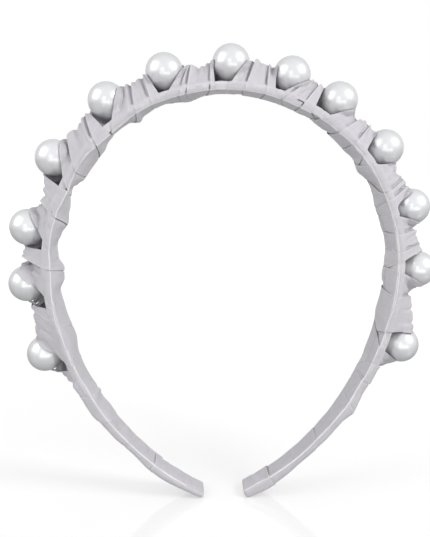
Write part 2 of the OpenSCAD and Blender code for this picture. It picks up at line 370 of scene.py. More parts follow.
# where a turn is along its way: from the middle of the inner run, round the front edge of the
# band, over the ridge, round the back edge and back to the middle of the inner run
WAY = [-0.5, -0.1, 0.0, 1.0, 2.0, 2.1, 2.5]
INNER_STOPS = (0, 6)
FRONT_HEM, FRONT_SHOULDER, RIDGE, BACK_SHOULDER, BACK_HEM = 1, 2, 3, 4, 5
ACROSS = 41
# how far towards the ridge's heading an edge has come where it turns round the band's edge
SHOULDER_SHARE = 0.23
# from the front edge up to the ridge, in millimetres
TENT_SLOPE = 10.7
# how deep the slit beside the next turn is along the way
SLIT_WAY = [0, 0.25, 0.7, 1, 1.3, 1.8, 2]
SLIT_DEPTH = [0.15, 0.8, 1.1, 0.4, 1.1, 0.8, 0.2]


def on_outside(way):
    """1 from the front edge over the ridge to the back edge, and 0 on the inner run."""
    return smooth((way + 0.1) / 0.15) * smooth((2.1 - way) / 0.15)


def on_inside(way):
    """1 on the inner run, and 0 from edge to edge round the outside."""
    return 1 - smooth((way + 0.2) / 0.1) * smooth((2.2 - way) / 0.1)


class Turn:
    """One turn of ribbon: the headings of its two edges at each stop of its way."""

    def __init__(self, left, right):
        self.left = np.array(left, dtype=float)
        self.right = np.array(right, dtype=float)

    def left_at(self, way):
        return np.interp(way, WAY, self.left)

    def right_at(self, way):
        return np.interp(way, WAY, self.right)


def straight_lines(front, ridge, back):
    """Headings from hem to hem of an edge or pleat that runs straight up to the ridge and down."""
    at_front = front + SHOULDER_SHARE * (ridge - front)
    at_back = back + SHOULDER_SHARE * (ridge - back)
    return [front, at_front, ridge, at_back, back]


def turns_from(edges, came_from, goes_to):
    """The turns of one group, from the (front heading, ridge heading) of each left edge.

    The last pair of edges is the group's right end. came_from and goes_to are the front or back
    edges that the ribbon comes from and goes on to, and are empty where it starts or ends.
    """
    lefts, end = np.array(edges[:-1], dtype=float), np.array(edges[-1], dtype=float)
    rights = np.minimum(lefts + TURN_WIDTH * np.array([1, 0.9]), end - EDGE_TUCK)
    rights[-1] = end
    fronts, ridges = np.stack([lefts, rights], axis=-1).transpose(1, 0, 2)
    backs = fronts + BACK_SHIFT
    before = np.vstack([came_from or fronts[0] - 4, backs[:-1]])
    after = np.vstack([fronts[1:], goes_to or backs[-1] + 3])
    stops = [(before + fronts) / 2, *straight_lines(fronts, ridges, backs), (backs + after) / 2]
    return [Turn(*sides) for sides in np.moveaxis(stops, 0, -1)]


def rounded_way(corners, runs, fillets, bend):
    """Corners (K, U, 4) of y, off, heading and way, joined by straight runs and round bends.

    runs and bend count the steps along each run and round each bend, and fillets are in mm.
    """
    rows = []

    def towards(corner, other, length):
        gap = np.hypot(*(corners[other] - corners[corner])[:, :2].T)
        share = np.minimum(length / np.maximum(gap, 1e-6), 0.48)
        return corners[corner] + (corners[other] - corners[corner]) * share[:, None]

    start = corners[0]
    for k in range(1, len(corners) - 1):
        into = towards(k, k - 1, fillets[k - 1])
        out = towards(k, k + 1, fillets[k - 1])
        rows += [start + (into - start) * (i / runs[k - 1]) for i in range(runs[k - 1])]
        for t in (i / bend for i in range(bend)):
            rows.append((1 - t) ** 2 * into + 2 * t * (1 - t) * corners[k] + t * t * out)
        start = out
    rows += [start + (corners[-1] - start) * (i / runs[-1]) for i in range(runs[-1] + 1)]
    return np.array(rows)


def lift_of(turns, index, heading, way, layer, curl, slits):
    """How far the ribbon lies above or below its smooth form, in millimetres.

    It lies a layer lower under each later turn, dips into a slit beside the next one and curls
    up at its own edges.
    """
    scale = mm_per_degree(heading)
    lift = np.zeros_like(heading)
    calm = 0.08 + 0.92 * smooth((way + 0.08) / 0.25) * smooth((2.08 - way) / 0.25)
    for later in range(index + 1, len(turns)):
        left = turns[later].left
        lean = (left[RIDGE] - left[FRONT_HEM]) * mm_per_degree(left[FRONT_HEM]) / TENT_SLOPE
        stretch = 1 + (np.hypot(1, lean) - 1) * smooth(4 * np.clip(1 - np.abs(way - 1), 0, 1))
        past = (heading - turns[later].left_at(way)) * scale / stretch
        lift -= layer * smooth((past + LAP) / LAP)
        if later == index + 1:
            depth = np.interp(way, SLIT_WAY, SLIT_DEPTH)
            lift -= calm * slits[index] * depth * bump(past + 0.45, 0.45)
    own = (heading - turns[index].left_at(way)) * scale
    end = (turns[index].right_at(way) - heading) * scale
    curled = np.exp(-np.maximum(own, 0) / 0.9) - np.exp(-np.maximum(end, 0) / 0.6)
    return lift + calm * curl * curled


def fold_lift(folds, heading, way):
    """Pleats and creases: (front heading, ridge heading, depth there, depth here, width)."""
    lift = np.zeros_like(heading)
    scale = mm_per_degree(heading)
    rise = np.clip(1 - np.abs(way - 1), 0, 1) ** 2
    shown = np.interp(way, [-0.1, 0, 2, 2.1], [0, 1, 0.8, 0])
    for front, ridge, deep_front, deep_ridge, width in folds:
        stops = straight_lines(front, ridge, front + BACK_SHIFT)
        line = np.interp(way, WAY, [front, *stops, front + BACK_SHIFT])
        depth = shown * (deep_front + (deep_ridge - deep_front) * rise)
        lift += depth * bump((heading - line) * scale, width)
    return lift


def clear_of_base(heading, y, off):
    """The tent's section pushed out to where the base wrap and its rounded corners end."""
    base_side = core_half_at(heading) + BASE_ROOM
    past_side = np.abs(y) - (base_side - BASE_CORNER)
    past_top = off - (BASE_TOP - BASE_CORNER)
    reach = np.maximum(np.hypot(past_side, past_top), 1e-6)
    beside, corner = past_side > 0, (past_side > 0) & (past_top > 0)
    grow = np.where(corner & (reach < BASE_CORNER), BASE_CORNER / reach, 1.0)
    wide = np.where(corner, base_side - BASE_CORNER + past_side * grow, np.abs(y))
    high = np.where(corner, BASE_TOP - BASE_CORNER + past_top * grow, off)
    # below its corners the base wrap has a flat side, and between them a flat top
    wide = np.where(~corner & beside & (off > 0.4), np.maximum(np.abs(y), base_side), wide)
    high = np.where(~corner & ~beside & (off > 1.5), np.maximum(off, BASE_TOP), high)
    return np.sign(y) * wide, high


def drape_over_pearls(points, room):
    """Where a pearl stands in the ribbon's way, the ribbon passes in front of or behind it."""
    for centre in PEARL_CENTRES:
        aside = np.hypot(points[..., 0] - centre[0], points[..., 2] - centre[2])
        across = np.abs(points[..., 1])
        needed = np.sqrt(np.clip(room ** 2 - aside ** 2, 0, None))
        needed = np.where(aside < room, needed * smooth((room - aside) / 1.2), 0)
        clear = 0.5 * (across + needed + np.sqrt((across - needed) ** 2 + 0.09)) - 0.15
        near = (aside < room) & (across > 0.05)
        side = np.sign(points[..., 1])
        y = np.where(near, side * np.maximum(clear, across), points[..., 1])
        points = np.stack([points[..., 0], y, points[..., 2]], axis=-1)
    return points


def wind(turns, section, lift, steps, past_pearls=True, over_base=False):
    """A ribbon wound as these turns. section gives the corners across and outward for headings."""
    points, cloth, fold_highlight = [], [], []
    along = 0.0
    even = np.linspace(0, 1, ACROSS)
    share = 0.5 * (0.5 - 0.5 * np.cos(np.linspace(0, math.pi, ACROSS))) + 0.5 * even
    for index, turn in enumerate(turns):
        headings = turn.left[:, None] + (turn.right - turn.left)[:, None] * share[None, :]
        corners = np.stack([
            np.stack([*section(stop, headings[stop]), headings[stop], np.full(ACROSS, at)], axis=-1)
            for stop, at in enumerate(WAY)
        ])
        rows = rounded_way(corners, *steps)
        y, off, heading, way = np.moveaxis(rows, -1, 0)
        step_y, step_off = np.gradient(y, axis=0), np.gradient(off, axis=0)
        length = np.maximum(np.hypot(step_y, step_off), 1e-9)
        raised, belly = lift(index, heading, way, y)
        y = y - raised * step_off / length
        off = off + raised * step_y / length - belly
        if over_base:
            y, off = clear_of_base(heading, y, off)
        placed = on_band(heading, off, y)
        if past_pearls:
            above = np.zeros_like(heading)
            for later in turns[index + 1:]:
                above += smooth(((heading - later.left_at(way)) * mm_per_degree(heading) + LAP) / LAP)
            room = PEARL_R + PEARL_GAP + LAYER_GAP * np.clip(2 - above, 0, 2)
            placed = drape_over_pearls(placed, room)
        paces = np.linalg.norm(np.diff(placed[:, ACROSS // 2], axis=0), axis=-1)
        run = along + np.concatenate([[0], np.cumsum(paces)])
        width = np.linalg.norm(placed[:, 1:] - placed[:, :-1], axis=-1)
        across = np.concatenate([np.zeros((len(rows), 1)), np.cumsum(width, axis=1)], axis=1)
        # each turn starts where the one before it ends, so its first row is there already
        keep = slice(0 if index == 0 else 1, None)
        points.append(placed[keep].reshape(-1, 3))
        flat = np.stack([across[keep], np.repeat(run[keep, None], ACROSS, axis=1)], axis=-1)
        cloth.append(flat.reshape(-1, 2) * MM)
        # painted highlight along the fold round the band's front inner edge
        fold_highlight.append(bump(way[keep] + 0.098, 0.011).ravel())
        along = run[-1]
    points, cloth, fold_highlight = (np.concatenate(kept) for kept in (points, cloth, fold_highlight))
    return points, cloth, fold_highlight, along


def lay_ribbon(node, wound, material):
    """Shows a wound ribbon as a piece with its thickness."""
    points, cloth, fold_highlight, length = wound
    faces = grid_faces(len(points) // ACROSS, ACROSS, strip=True)
    piece = ribbon_piece(node, points, faces, material, cloth, fold_highlight)
    length = float(length) * MM


# slack of the inner run at each heading, which hangs clear of the band
BELLY = [
    (-120, 0.3), (-112, 0.4), (-107, 2.2), (-101, 1.2), (-97.5, 0.6), (-94.5, 2.8), (-90.5, 3), (-87, 1),
    (-83, 0), (-79, 1.4), (-74.5, 2.9), (-69.3, 2.1), (-65, 0.9), (-62.6, 0), (-60.5, 1.4), (-58, 2.4),
    (-52, 2.4), (-46.3, 2.1), (-42, 0.8), (-38, 0), (-34, 0.3), (-30, 2), (-27.6, 0.9), (-23, 0.3),
    (-20.2, 0), (-17.4, 0.8), (-11.9, 1.7), (-6, 0.6), (-0.8, 0), (6.6, 0.4), (13, 0.5), (20, 0.6),
    (26.4, 0.7), (30.3, 0), (33, 0.8), (40, 1.1), (46.5, 1.3), (50.5, 0.7), (55.3, 2), (59, 1),
    (61.5, 0.1), (65, 1), (69.3, 1.9), (76.4, 1.6), (81, 0.7), (84.7, 0), (88.6, 1.2), (93.7, 1.9),
    (98, 1.2), (102, 1.7), (105.4, 0.7), (108, 0.2), (113, 0), (120, 0.1),
]

# where the front inner edge runs, outward of the crown's inner curve
HEM = [
    (-112.6, 0.6), (-108.4, 0.3), (-105.8, 0.2), (-103.8, 0.7), (-99.9, 0.5), (-95.9, -0.1), (-92, -0.4),
    (-87.1, -0.3), (-83.9, 0.1), (-76, 0.2), (-72.8, -0.2), (-70.6, 0.1), (-67.9, -0.5), (-63, -0.9),
    (-56.8, 0), (-50, 0.5), (-46.4, -0.4), (-40, -0.7), (-34.9, -0.4), (-30, 0), (-24.1, 0.2), (-14.6, 0),
    (0, 0.1), (11.6, 0.1), (22.1, -0.3), (27.4, -0.3), (35.6, 0), (40, -0.2), (46.6, 0.4), (54.6, 0.6),
    (62.1, 0.1), (71.4, 0.2), (76.5, 0.5), (87.9, 0.6), (95.8, 0.7), (99.9, 0.7), (103.2, -0.1),
    (107, -0.2),
]

# half the width over which the inner run hangs slack
BELLY_HALF = 7.5


def belly_at(heading, y):
    slack = eased(heading, BELLY)
    return slack * (1 - np.clip(np.abs(y) / BELLY_HALF, 0, 1) ** 2.5) * (1 + 0.25 * y / BELLY_HALF)


# the groups of turns between the pearls: the heading of each turn's edge at the front and at the
# ridge, the outline of the ridge as (heading, height), the pleats as fold_lift takes them, how
# deep the slits are, and the hollows as (turn, headings of the near edge, depths up to the ridge)
GROUPS = {
    "turns_00": {
        "edges": [(-118.6, -118.2), (-115.8, -115.4), (-112.9, -112.7)],
        "ridge": [(-119, 3.4), (-117, 4.4), (-115.4, 5.6), (-114.1, 6.6), (-112.6, 7.7)],
        "folds": [(-114.2, -113.8, -0.2, -0.3, 0.5)],
    },
    "turns_01": {
        "edges": [(-112.7, -105), (-112, -104.3), (-103.7, -99.4), (-99.7, -99)],
        "ridge": [(-105.2, 10.4), (-104.4, 9.8), (-102.7, 9.6), (-101.1, 9.1), (-99.1, 9.2)],
        "hollows": [(1, (-105, -101), (0.2, 1, 1))],
        "folds": [(-107.5, -102, -0.5, -0.2, 0.8), (-102.2, -101, 0.3, 0.2, 0.6)],
    },
    "turns_02": {
        "edges": [(-99.1, -90.8), (-89.9, -86.8), (-83.3, -84.1)],
        "hollows": [(0, (-92.3, -89.2), (0.25, 1.6, 3))],
        "ridge": [(-91.1, 11.2), (-88.6, 10.9), (-86.9, 10.4), (-85.5, 10.6), (-84.2, 9.8)],
        "folds": [(-95.5, -90, -0.25, -0.2, 0.9), (-86.2, -85.6, -0.3, -0.2, 0.7)],
    },
    "turns_03": {
        "edges": [(-83.3, -72.4), (-72.5, -69.8), (-62.9, -62.7)],
        "ridge": [(-72.4, 7.6), (-71.5, 8.3), (-69.5, 7.2), (-68, 6.8), (-65, 8.7), (-63, 8.9)],
        "folds": [
            (-77, -71, -0.9, -0.2, 0.6), (-69.5, -67.9, -0.1, -0.45, 0.7), (-68.5, -66.8, 0.2, 0.4, 0.6),
            (-65.8, -64.6, -0.4, -0.2, 0.8),
        ],
    },
    "turns_04": {
        "edges": [(-63.2, -51.3), (-56.5, -49.6), (-45.8, -42), (-39.9, -41)],
        "ridge": [
            (-51.6, 10.2), (-50.8, 10.1), (-48.3, 9.7), (-46.9, 9.3), (-45.4, 9.3), (-43.9, 10.1),
            (-41.9, 10.3), (-41.3, 9.7),
        ],
        "folds": [(-51, -46.2, -0.3, -0.5, 0.9), (-47, -43.8, 0.3, 0.3, 0.6)],
    },
    "turns_05": {
        "edges": [(-39.6, -29.7), (-29.6, -26.6), (-23.8, -22.9), (-19.9, -22.1)],
        "slits": [1.1, 0.7, 0.4],
        "ridge": [(-29.7, 10.4), (-28.7, 10.6), (-26.7, 9.8), (-25.3, 10.2), (-22.8, 10.7), (-22, 9.7)],
        "folds": [
            (-35.5, -29, -0.5, -0.5, 0.6), (-32.5, -27.8, 0.3, 0.2, 0.8), (-26.8, -24.8, -0.2, -0.2, 0.7),
        ],
    },
    "turns_06": {
        "edges": [(-19.9, -10.3), (-15, -9.8), (-12.6, -9.2), (-4.9, -3.9), (-3.3, -3.2)],
        "slits": [0.3, 0.6, 0.6, 0.2],
        "ridge": [
            (-10.3, 9.5), (-9.6, 9.6), (-8.8, 9), (-7.3, 8.4), (-5.4, 9.1), (-4.3, 9.7), (-3.3, 9.5),
        ],
        "folds": [(-8.6, -6.8, -0.15, -0.2, 1)],
    },
    "turns_07": {
        "edges": [(-0.1, 6.6), (5.7, 8.6), (12.7, 12.4), (15.7, 14.3)],
        "ridge": [
            (6.7, 9.9), (7.4, 11), (8.5, 11.2), (10.4, 10.8), (11.9, 10.5), (13.3, 10.2), (14.5, 10.6),
        ],
        "folds": [
            (9.8, 10.4, -0.1, -0.7, 0.6), (2.6, 7.6, -0.2, -0.2, 0.8), (14.3, 13.5, -0.1, -0.6, 0.4),
        ],
    },
    "turns_08": {
        "edges": [(15.7, 24.9), (18.2, 25.4), (24.5, 27.7), (28.5, 29.1)],
        "hollows": [(1, (21.5, 27.4), (0.1, 1.1, 0.8))],
        "ridge": [(24.9, 10.1), (26.1, 10.9), (27.7, 10.5), (29.1, 9.7)],
        "folds": [(20.4, 26.2, 0.2, 0.1, 0.8)],
    },
    "turns_09": {
        "edges": [(31.8, 40.1), (39.4, 42.7), (45.5, 45.9), (50.3, 48.3)],
        "ridge": [
            (40.1, 8.7), (41.1, 9.4), (42.7, 8.9), (44, 10.1), (45.3, 10.3), (46.1, 10), (48.2, 10.3),
        ],
        "folds": [
            (35.8, 41.2, -0.3, -0.3, 0.9), (42.4, 44.4, -0.2, -0.1, 0.9), (48, 47.2, -0.3, -0.2, 0.8),
        ],
    },
    "turns_10": {
        "edges": [(53.8, 59.6), (64.7, 64.1), (67.3, 66.3), (71.4, 67.6)],
        "ridge": [(59.7, 9.3), (61.7, 9), (64.1, 9.8), (65.1, 10.6), (66.5, 10.4), (67.5, 10.2)],
        "folds": [(61.2, 61.8, -0.5, -0.5, 0.7), (57, 60.6, -0.2, -0.2, 0.9)],
    },
    "turns_11": {
        "edges": [(71.7, 77.8), (78.9, 79.4), (84.9, 83.4), (88.4, 85.5)],
        "slits": [1.1, 0.6, 0.4],
        "ridge": [(77.9, 8.3), (79.2, 9.1), (83.3, 10.2), (85.4, 11.1)],
        "folds": [(75.2, 78.5, -0.3, -0.2, 0.9), (82, 81.4, -0.3, -0.2, 0.9)],
    },
    "turns_12": {
        "edges": [(90.6, 95.5), (97.8, 97.9), (105.4, 104.5)],
        "slits": [1.2, 0.4],
        "ridge": [(95.7, 7.8), (96.8, 7.6), (98.1, 8.2), (101, 10), (103.5, 11.6), (104.5, 11.8)],
        "folds": [(94, 96.6, -0.3, -0.2, 0.9), (102.6, 102.4, -0.15, -0.2, 1.2)],
    },
    "turns_13": {
        "edges": [(108.6, 111.2), (112.4, 113.4), (116.6, 117.2)],
        "ridge": [(111, 7), (112.5, 5.8), (113.7, 5), (115.7, 4.4), (117.2, 3.5)],
        "folds": [(110.8, 112.2, -0.3, -0.2, 0.7)],
    },
}
# from a turn's front edge to its back edge, and the most of it that is laid (deg)
BACK_SHIFT = 6.4
TURN_WIDTH = 10.4
TENT_STEPS = [8, 3, 22, 22, 3, 8], [0.6, 5.0, 1.1, 5.0, 0.8], 9
GROUP_LAYER = 0.28
GROUP_CURL = 0.2


def ridge_height(headings, outline):
    """How high the ridge stands: its outline, raised beside each pearl to cover the thread."""
    line = on_band(headings, BEAD_OFF)
    beside = np.linalg.norm(line[..., None, :] - PEARL_CENTRES, axis=-1).min(axis=-1)
    collar = BEAD_OFF + 0.8 - 1.2 * np.maximum(beside - PEARL_R - MOUTH_REACH, 0)
    return np.maximum(read_off(headings, outline), collar)


def tent_section(outline):
    """Across and outward at each stop: flat under the band, straight up to the ridge."""

    def section(stop, headings):
        flat = np.zeros_like(headings)
        half = core_half_at(headings) + TURN_ROOM
        corners = {
            FRONT_HEM: (-half, read_off(headings, HEM)),
            FRONT_SHOULDER: (-half - SHOULDER_ROOM, flat + SHOULDER_OFF),
            RIDGE: (flat, ridge_height(headings, outline) + 0.4),
            BACK_SHOULDER: (half + SHOULDER_ROOM, flat + SHOULDER_OFF),
            BACK_HEM: (half, flat),
        }
        return corners.get(stop, (flat, flat))

    return section


def small_pleats(turns, chance):
    """Fine pleats that gather towards the ridge, on what shows of each turn."""
    made = []
    ends = [turn.left for turn in turns[1:]] + [turns[-1].right]
    for turn, end in zip(turns, ends):
        front, ridge = turn.left[FRONT_SHOULDER], turn.left[RIDGE]
        front_reach, ridge_reach = end[FRONT_SHOULDER] - front, end[RIDGE] - ridge
        if ridge_reach < 1.6:
            continue
        for share in (chance.uniform(0.25, 0.4), chance.uniform(0.6, 0.8)):
            deep_front = chance.uniform(-0.06, 0.04)
            deep_ridge = -chance.uniform(0.6, 1.1)
            width = chance.uniform(0.42, 0.62)
            place = front + share * front_reach, ridge + share * ridge_reach
            made.append((*place, deep_front, deep_ridge, width))
    return made


def group_lift(turns, group, seed):
    """How a group's turns lie: over each other, in pleats, hollows and slight waves."""
    chance = np.random.default_rng(seed)
    slits = group.get("slits", [1.0] * len(turns))
    folds = group["folds"] + small_pleats(turns, chance)
    limits = [(0.03, 0.07), (0.1, 0.22), (0, 6), (-1.5, 1.5)]
    waves = [[chance.uniform(*limit) for limit in limits] for _ in range(3)]

    def lift(index, heading, way, y):
        outside = on_outside(way)
        raised = lift_of(turns, index, heading, way, GROUP_LAYER, GROUP_CURL, slits)
        raised += fold_lift(folds, heading, way) * outside
        for under, near, depths in group.get("hollows", []):
            if under == index:
                start = np.interp(way, [0, 1, 2], [near[0], near[1], near[0] + BACK_SHIFT])
                reach = smooth((heading - start) * mm_per_degree(heading) / 0.7)
                raised -= outside * reach * np.interp(way, [0, 0.35, 1, 2], [*depths, 0.2])
        for size, pace, start, tilt in waves:
            raised += outside * size * np.sin(heading * pace * 2 + start + tilt * way + index)
        return raised, belly_at(heading, y) * on_inside(way)

    return lift


def wind_groups():
    """Winds every group, each from where the one before it ends to where the next one starts."""
    edge_lists = [[], *(group["edges"] for group in GROUPS.values()), []]
    for place, (node, group) in enumerate(GROUPS.items()):
        came_from = [front + BACK_SHIFT for front, _ in edge_lists[place][-2:]]
        goes_to = [front for front, _ in edge_lists[place + 2][:2]]
        turns = turns_from(group["edges"], came_from, goes_to)
        lift = group_lift(turns, group, place)
        section = tent_section(group["ridge"])
        wound = wind(turns, section, lift, TENT_STEPS, over_base=True)
        lay_ribbon(node, wound, SATIN_TURNS)


# ---- the base wrap and the arms ----

# how an arm's wraps stand at each heading: outward at the outer edge, at the front inner edge
# and at the middle of the inner run, where the ribbon is slack, and the small dents in that run
ARMS = {
    "left": {
        "outer": [
            (-152, 2.2), (-149, 2.6), (-142.6, 3.5), (-139.9, 3.4), (-137.2, 2.9), (-134.9, 2.6),
            (-132.4, 2.5), (-130.4, 3), (-127.7, 3.2), (-125.7, 3.1), (-123.7, 4), (-121.7, 3.9),
            (-119.8, 3.6), (-117.9, 3.7), (-116.4, 4.2), (-115, 3), (-111, 2.9),
        ],
        "hem": [
            (-140, 0.3), (-132, 0.2), (-127, 0.3), (-122.7, 0.1), (-119.8, 0), (-117.8, -0.3),
            (-115, 0.1),
        ],
        "slack": [
            (-146, 0), (-139, 0), (-133.7, 0.1), (-131.5, 0.6), (-128.8, 0.1), (-126.5, 1), (-124.5, 1.4),
            (-122.1, 0.3), (-120.3, 1.7), (-118, 0.8), (-115.5, 0.5), (-112, 0.2),
        ],
        "dents": [
            (-120, 3.4, 2.2, 0.6, 1.2), (-120.7, 4.4, -0.35, 0.9, 1.4), (-121.6, 1.6, 1.1, 0.6, 2),
            (-117.6, 0.8, 0.6, 0.6, 2.4), (-128.8, -2.6, 0.6, 0.8, 1.4), (-130.6, 1, -0.4, 1.4, 2),
            (-137.8, 2, 0.5, 0.6, 2), (-134.5, -1, -0.3, 1.5, 1.5),
        ],
    },
    "right": {
        "outer": [
            (113, 2.6), (116.9, 2.6), (118.5, 2.5), (121.2, 3.2), (123.2, 4), (125.6, 2.6), (128, 2.2),
            (130.9, 2.2), (134.1, 2.4), (135.9, 2.2), (139.2, 2.5), (143.4, 3), (146.6, 3.4), (152, 2.4),
        ],
        "hem": [
            (115, -0.5), (119.4, -0.5), (122.2, -0.1), (125.6, -0.3), (133.1, -0.5), (137.7, -0.2),
            (145.2, -0.4),
        ],
        "slack": [(110, 0.3), (118, 0.25), (126, 0.15), (132, 0), (145, 0.1)],
        "dents": [(118, -2, 0.4, 3, 1.2), (121, 1.5, -0.25, 2.5, 1.5)],
    },
}
# the headings of the arms' edges at the hem and at the outer edge, and where the last turn ends
ARM_EDGES = {
    "left": [(-148, -147.5), (-140.9, -140.6), (-133.1, -132), (-126.5, -124.7), (-119.9, -117.9)],
    "right": [(116.2, 116.3), (116.7, 116.9), (122.2, 123.3), (133, 134)],
}
ARM_ENDS = {"left": -112.0, "right": 146.7}
ARM_TUCK = 2.2
ARM_STEPS = [16, 3, 8, 8, 3, 16], [0.6, 1.1, 2.0, 1.1, 0.7], 5
BASE_STEPS = [7, 3, 8, 8, 3, 7], *ARM_STEPS[1:]
# how far the wraps' outer face lies outside the bare band's
WRAP_OUT = 0.3


def band_outer(headings):
    """How far outward a wrap's outer face lies at least."""
    turn = np.radians(np.abs(headings))
    shift = ARM_BACK_C - ARM_C
    arm = ARM_BACK_R + WRAP_OUT - ARM_R + shift[0] * np.sin(turn) + shift[1] * np.cos(turn)
    return np.where(np.abs(headings) > CROWN_END, arm, CORE_OUT + WRAP_OUT)


def wrap_section(outer_at, hem_at, inner, room, crown):
    """The band's own section with its wraps, room wider and crown higher in the middle."""

    def section(stop, headings):
        flat = np.zeros_like(headings)
        outer = outer_at(headings)
        side = (core_half_at(headings) + room) * (-1 if stop < RIDGE else 1)
        if stop in INNER_STOPS:
            return flat, flat + inner
        if stop == RIDGE:
            return flat, outer + crown
        if stop == FRONT_HEM:
            return side, hem_at(headings)
        return side, (outer if stop in (FRONT_SHOULDER, BACK_SHOULDER) else flat + inner)

    return section


def wrap_lift(turns, layer, curl, seed, belly):
    """How wraps lie over each other, and how far their inner run hangs off the band."""
    chance = np.random.default_rng(seed)
    slits = chance.uniform(0.1, 0.25, len(turns))
    phases = chance.uniform(0, 6, len(turns))

    def lift(index, heading, way, y):
        raised = lift_of(turns, index, heading, way, layer, curl, slits)
        raised += 0.05 * np.sin(1.1 * heading + phases[index] + 1.7 * way)
        return raised, on_inside(way) * belly(heading, y)

    return lift


def base_turns(end=115.5, pitch=7.7, width=10.4, lean=1.0, back=6.0):
    """Flat turns at an even pitch from one end of the crown to the other, in degrees."""
    made = []
    for start in np.arange(-end, end - 0.3 * pitch, pitch):
        before, after = start - pitch / 2 + back / 2, start + (back + pitch) / 2
        stops = [before, start, start + lean, start + lean + back / 2, start + back, start + back, after]
        left = [max(min(heading, end - 0.3), -end) for heading in stops]
        made.append(Turn(left, [min(heading + width, end) for heading in stops]))
    return made


def wrap_base():
    turns = base_turns()
    inner = 0.15

    def hem_at(headings):
        return np.full_like(headings, inner)

    def belly(heading, y):
        return np.clip(belly_at(heading, y) - 0.4, 0, None)

    section = wrap_section(band_outer, hem_at, inner, 0.42, 0.1)
    lift = wrap_lift(turns, 0.06, 0.03, 71, belly)
    wound = wind(turns, section, lift, BASE_STEPS, past_pearls=False)
    lay_ribbon("base_wrap", wound, SATIN_BASE_LIT)


def arm_turns(edges, last):
    """The long turns of an arm, from the heading of each edge at the hem and at the outer edge."""
    hems = [hem for hem, _ in edges] + [last]
    lefts = []
    for (hem, outer), next_hem in zip(edges, hems[1:]):
        back = next_hem - EDGE_TUCK
        back_outer = back - 0.4 * (outer - hem)
        lefts.append([hem - 0.35, hem, outer, (outer + back) / 2, back_outer, back, next_hem - 0.35])
    rights = [[heading + ARM_TUCK for heading in left] for left in lefts[1:]] + [[last] * len(WAY)]
    return [Turn(left, np.minimum(right, last)) for left, right in zip(lefts, rights)]


def wrap_arm(side, seed):
    shape = ARMS[side]
    turns = arm_turns(ARM_EDGES[side], ARM_ENDS[side])

    def outer_at(headings):
        return np.maximum(read_off(headings, shape["outer"]), band_outer(headings))

    def hem_at(headings):
        return read_off(headings, shape["hem"])

    def belly(heading, y):
        hang = (1 - np.clip(np.abs(y) / 6.0, 0, 1) ** 2.5) * read_off(heading, shape["slack"])
        scale = mm_per_degree(heading)
        for at, across, deep, long, wide in shape["dents"]:
            hang = hang - deep * bump((heading - at) * scale, long) * bump(y - across, wide)
        return hang

    section = wrap_section(outer_at, hem_at, 0.1, 0.6, 0.15)
    lift = wrap_lift(turns, 0.12, 0.12, seed, belly)
    wound = wind(turns, section, lift, ARM_STEPS)
    lay_ribbon(f"arm_wrap_{side}", wound, SATIN_TURNS)


# the radius to which the ribbon's end is rounded over the tip, in millimetres
TIP_CORNER = 0.9


def cover_tip(side, first, creases, squareness):
    """The ribbon's end, drawn flat over the tip and folded square at its end.

    creases are (distance from the first heading, tilt, depth, width), and a lower squareness
    makes the section squarer.
    """
    shape = ARMS[side]
    sign = -1 if side == "left" else 1
    degree = float(mm_per_degree(TIP_HEADING, 1.5))
    total = (TIP_HEADING - first) * degree + float(core_half_at(TIP_HEADING)) + 0.6
    around = 72
    slowing = total - TIP_CORNER * (1 - np.sin(np.linspace(0, math.pi / 2, 10)))
    travels = np.concatenate([np.linspace(0, total - TIP_CORNER, 44), slowing[1:]])
    angle = np.linspace(0, 2 * math.pi, around, endpoint=False)
    across, outward = (np.sign(turn) * np.abs(turn) ** squareness for turn in (np.cos(angle), np.sin(angle)))
    rings = []
    for travel in travels:
        heading = first + travel / degree
        turned = max(travel - (total - TIP_CORNER), 0.0) / TIP_CORNER
        drawn_in = TIP_CORNER * (1 - math.sqrt(max(1 - turned ** 2, 0.0)))
        half = float(core_half_at(min(heading, TIP_HEADING))) + 0.85 - drawn_in
        outer = float(read_off(sign * heading, shape["outer"])) + 0.4
        inner = min(float(read_off(sign * heading, shape["hem"])), 0.1) - 0.2
        middle, thick = (outer + inner) / 2, (outer - inner) / 2 * (1 - 0.75 * turned ** 3)
        y = half * across
        relief = sum(deep * bump(travel - place - tilt * y, wide) for place, tilt, deep, wide in creases)
        relief = relief + 0.14 * np.exp(-travel / 0.5)
        off = middle + thick * outward + relief * np.sin(angle)
        rings.append(on_band(sign * heading, off, y))
    count = len(rings)
    faces = grid_faces(count, around)
    faces.append(list(range((count - 1) * around, count * around)))
    if sign < 0:
        faces = [[face[0], *face[:0:-1]] for face in faces[:-1]] + [faces[-1][::-1]]
    girth = np.linspace(0, 0.02, around)
    cloth = np.stack([np.repeat(travels * MM, around), np.tile(girth, count)], axis=-1)
    # painted highlight along the square tip's folded corner
    fold_highlight = np.tile(bump(angle - 1.25 * math.pi, 0.09), count) * (squareness < 0.5)
    piece = ribbon_piece(f"tip_fold_{side}", np.concatenate(rings), faces, SATIN_TURNS, cloth, fold_highlight)


# ---- pearls and thread ----


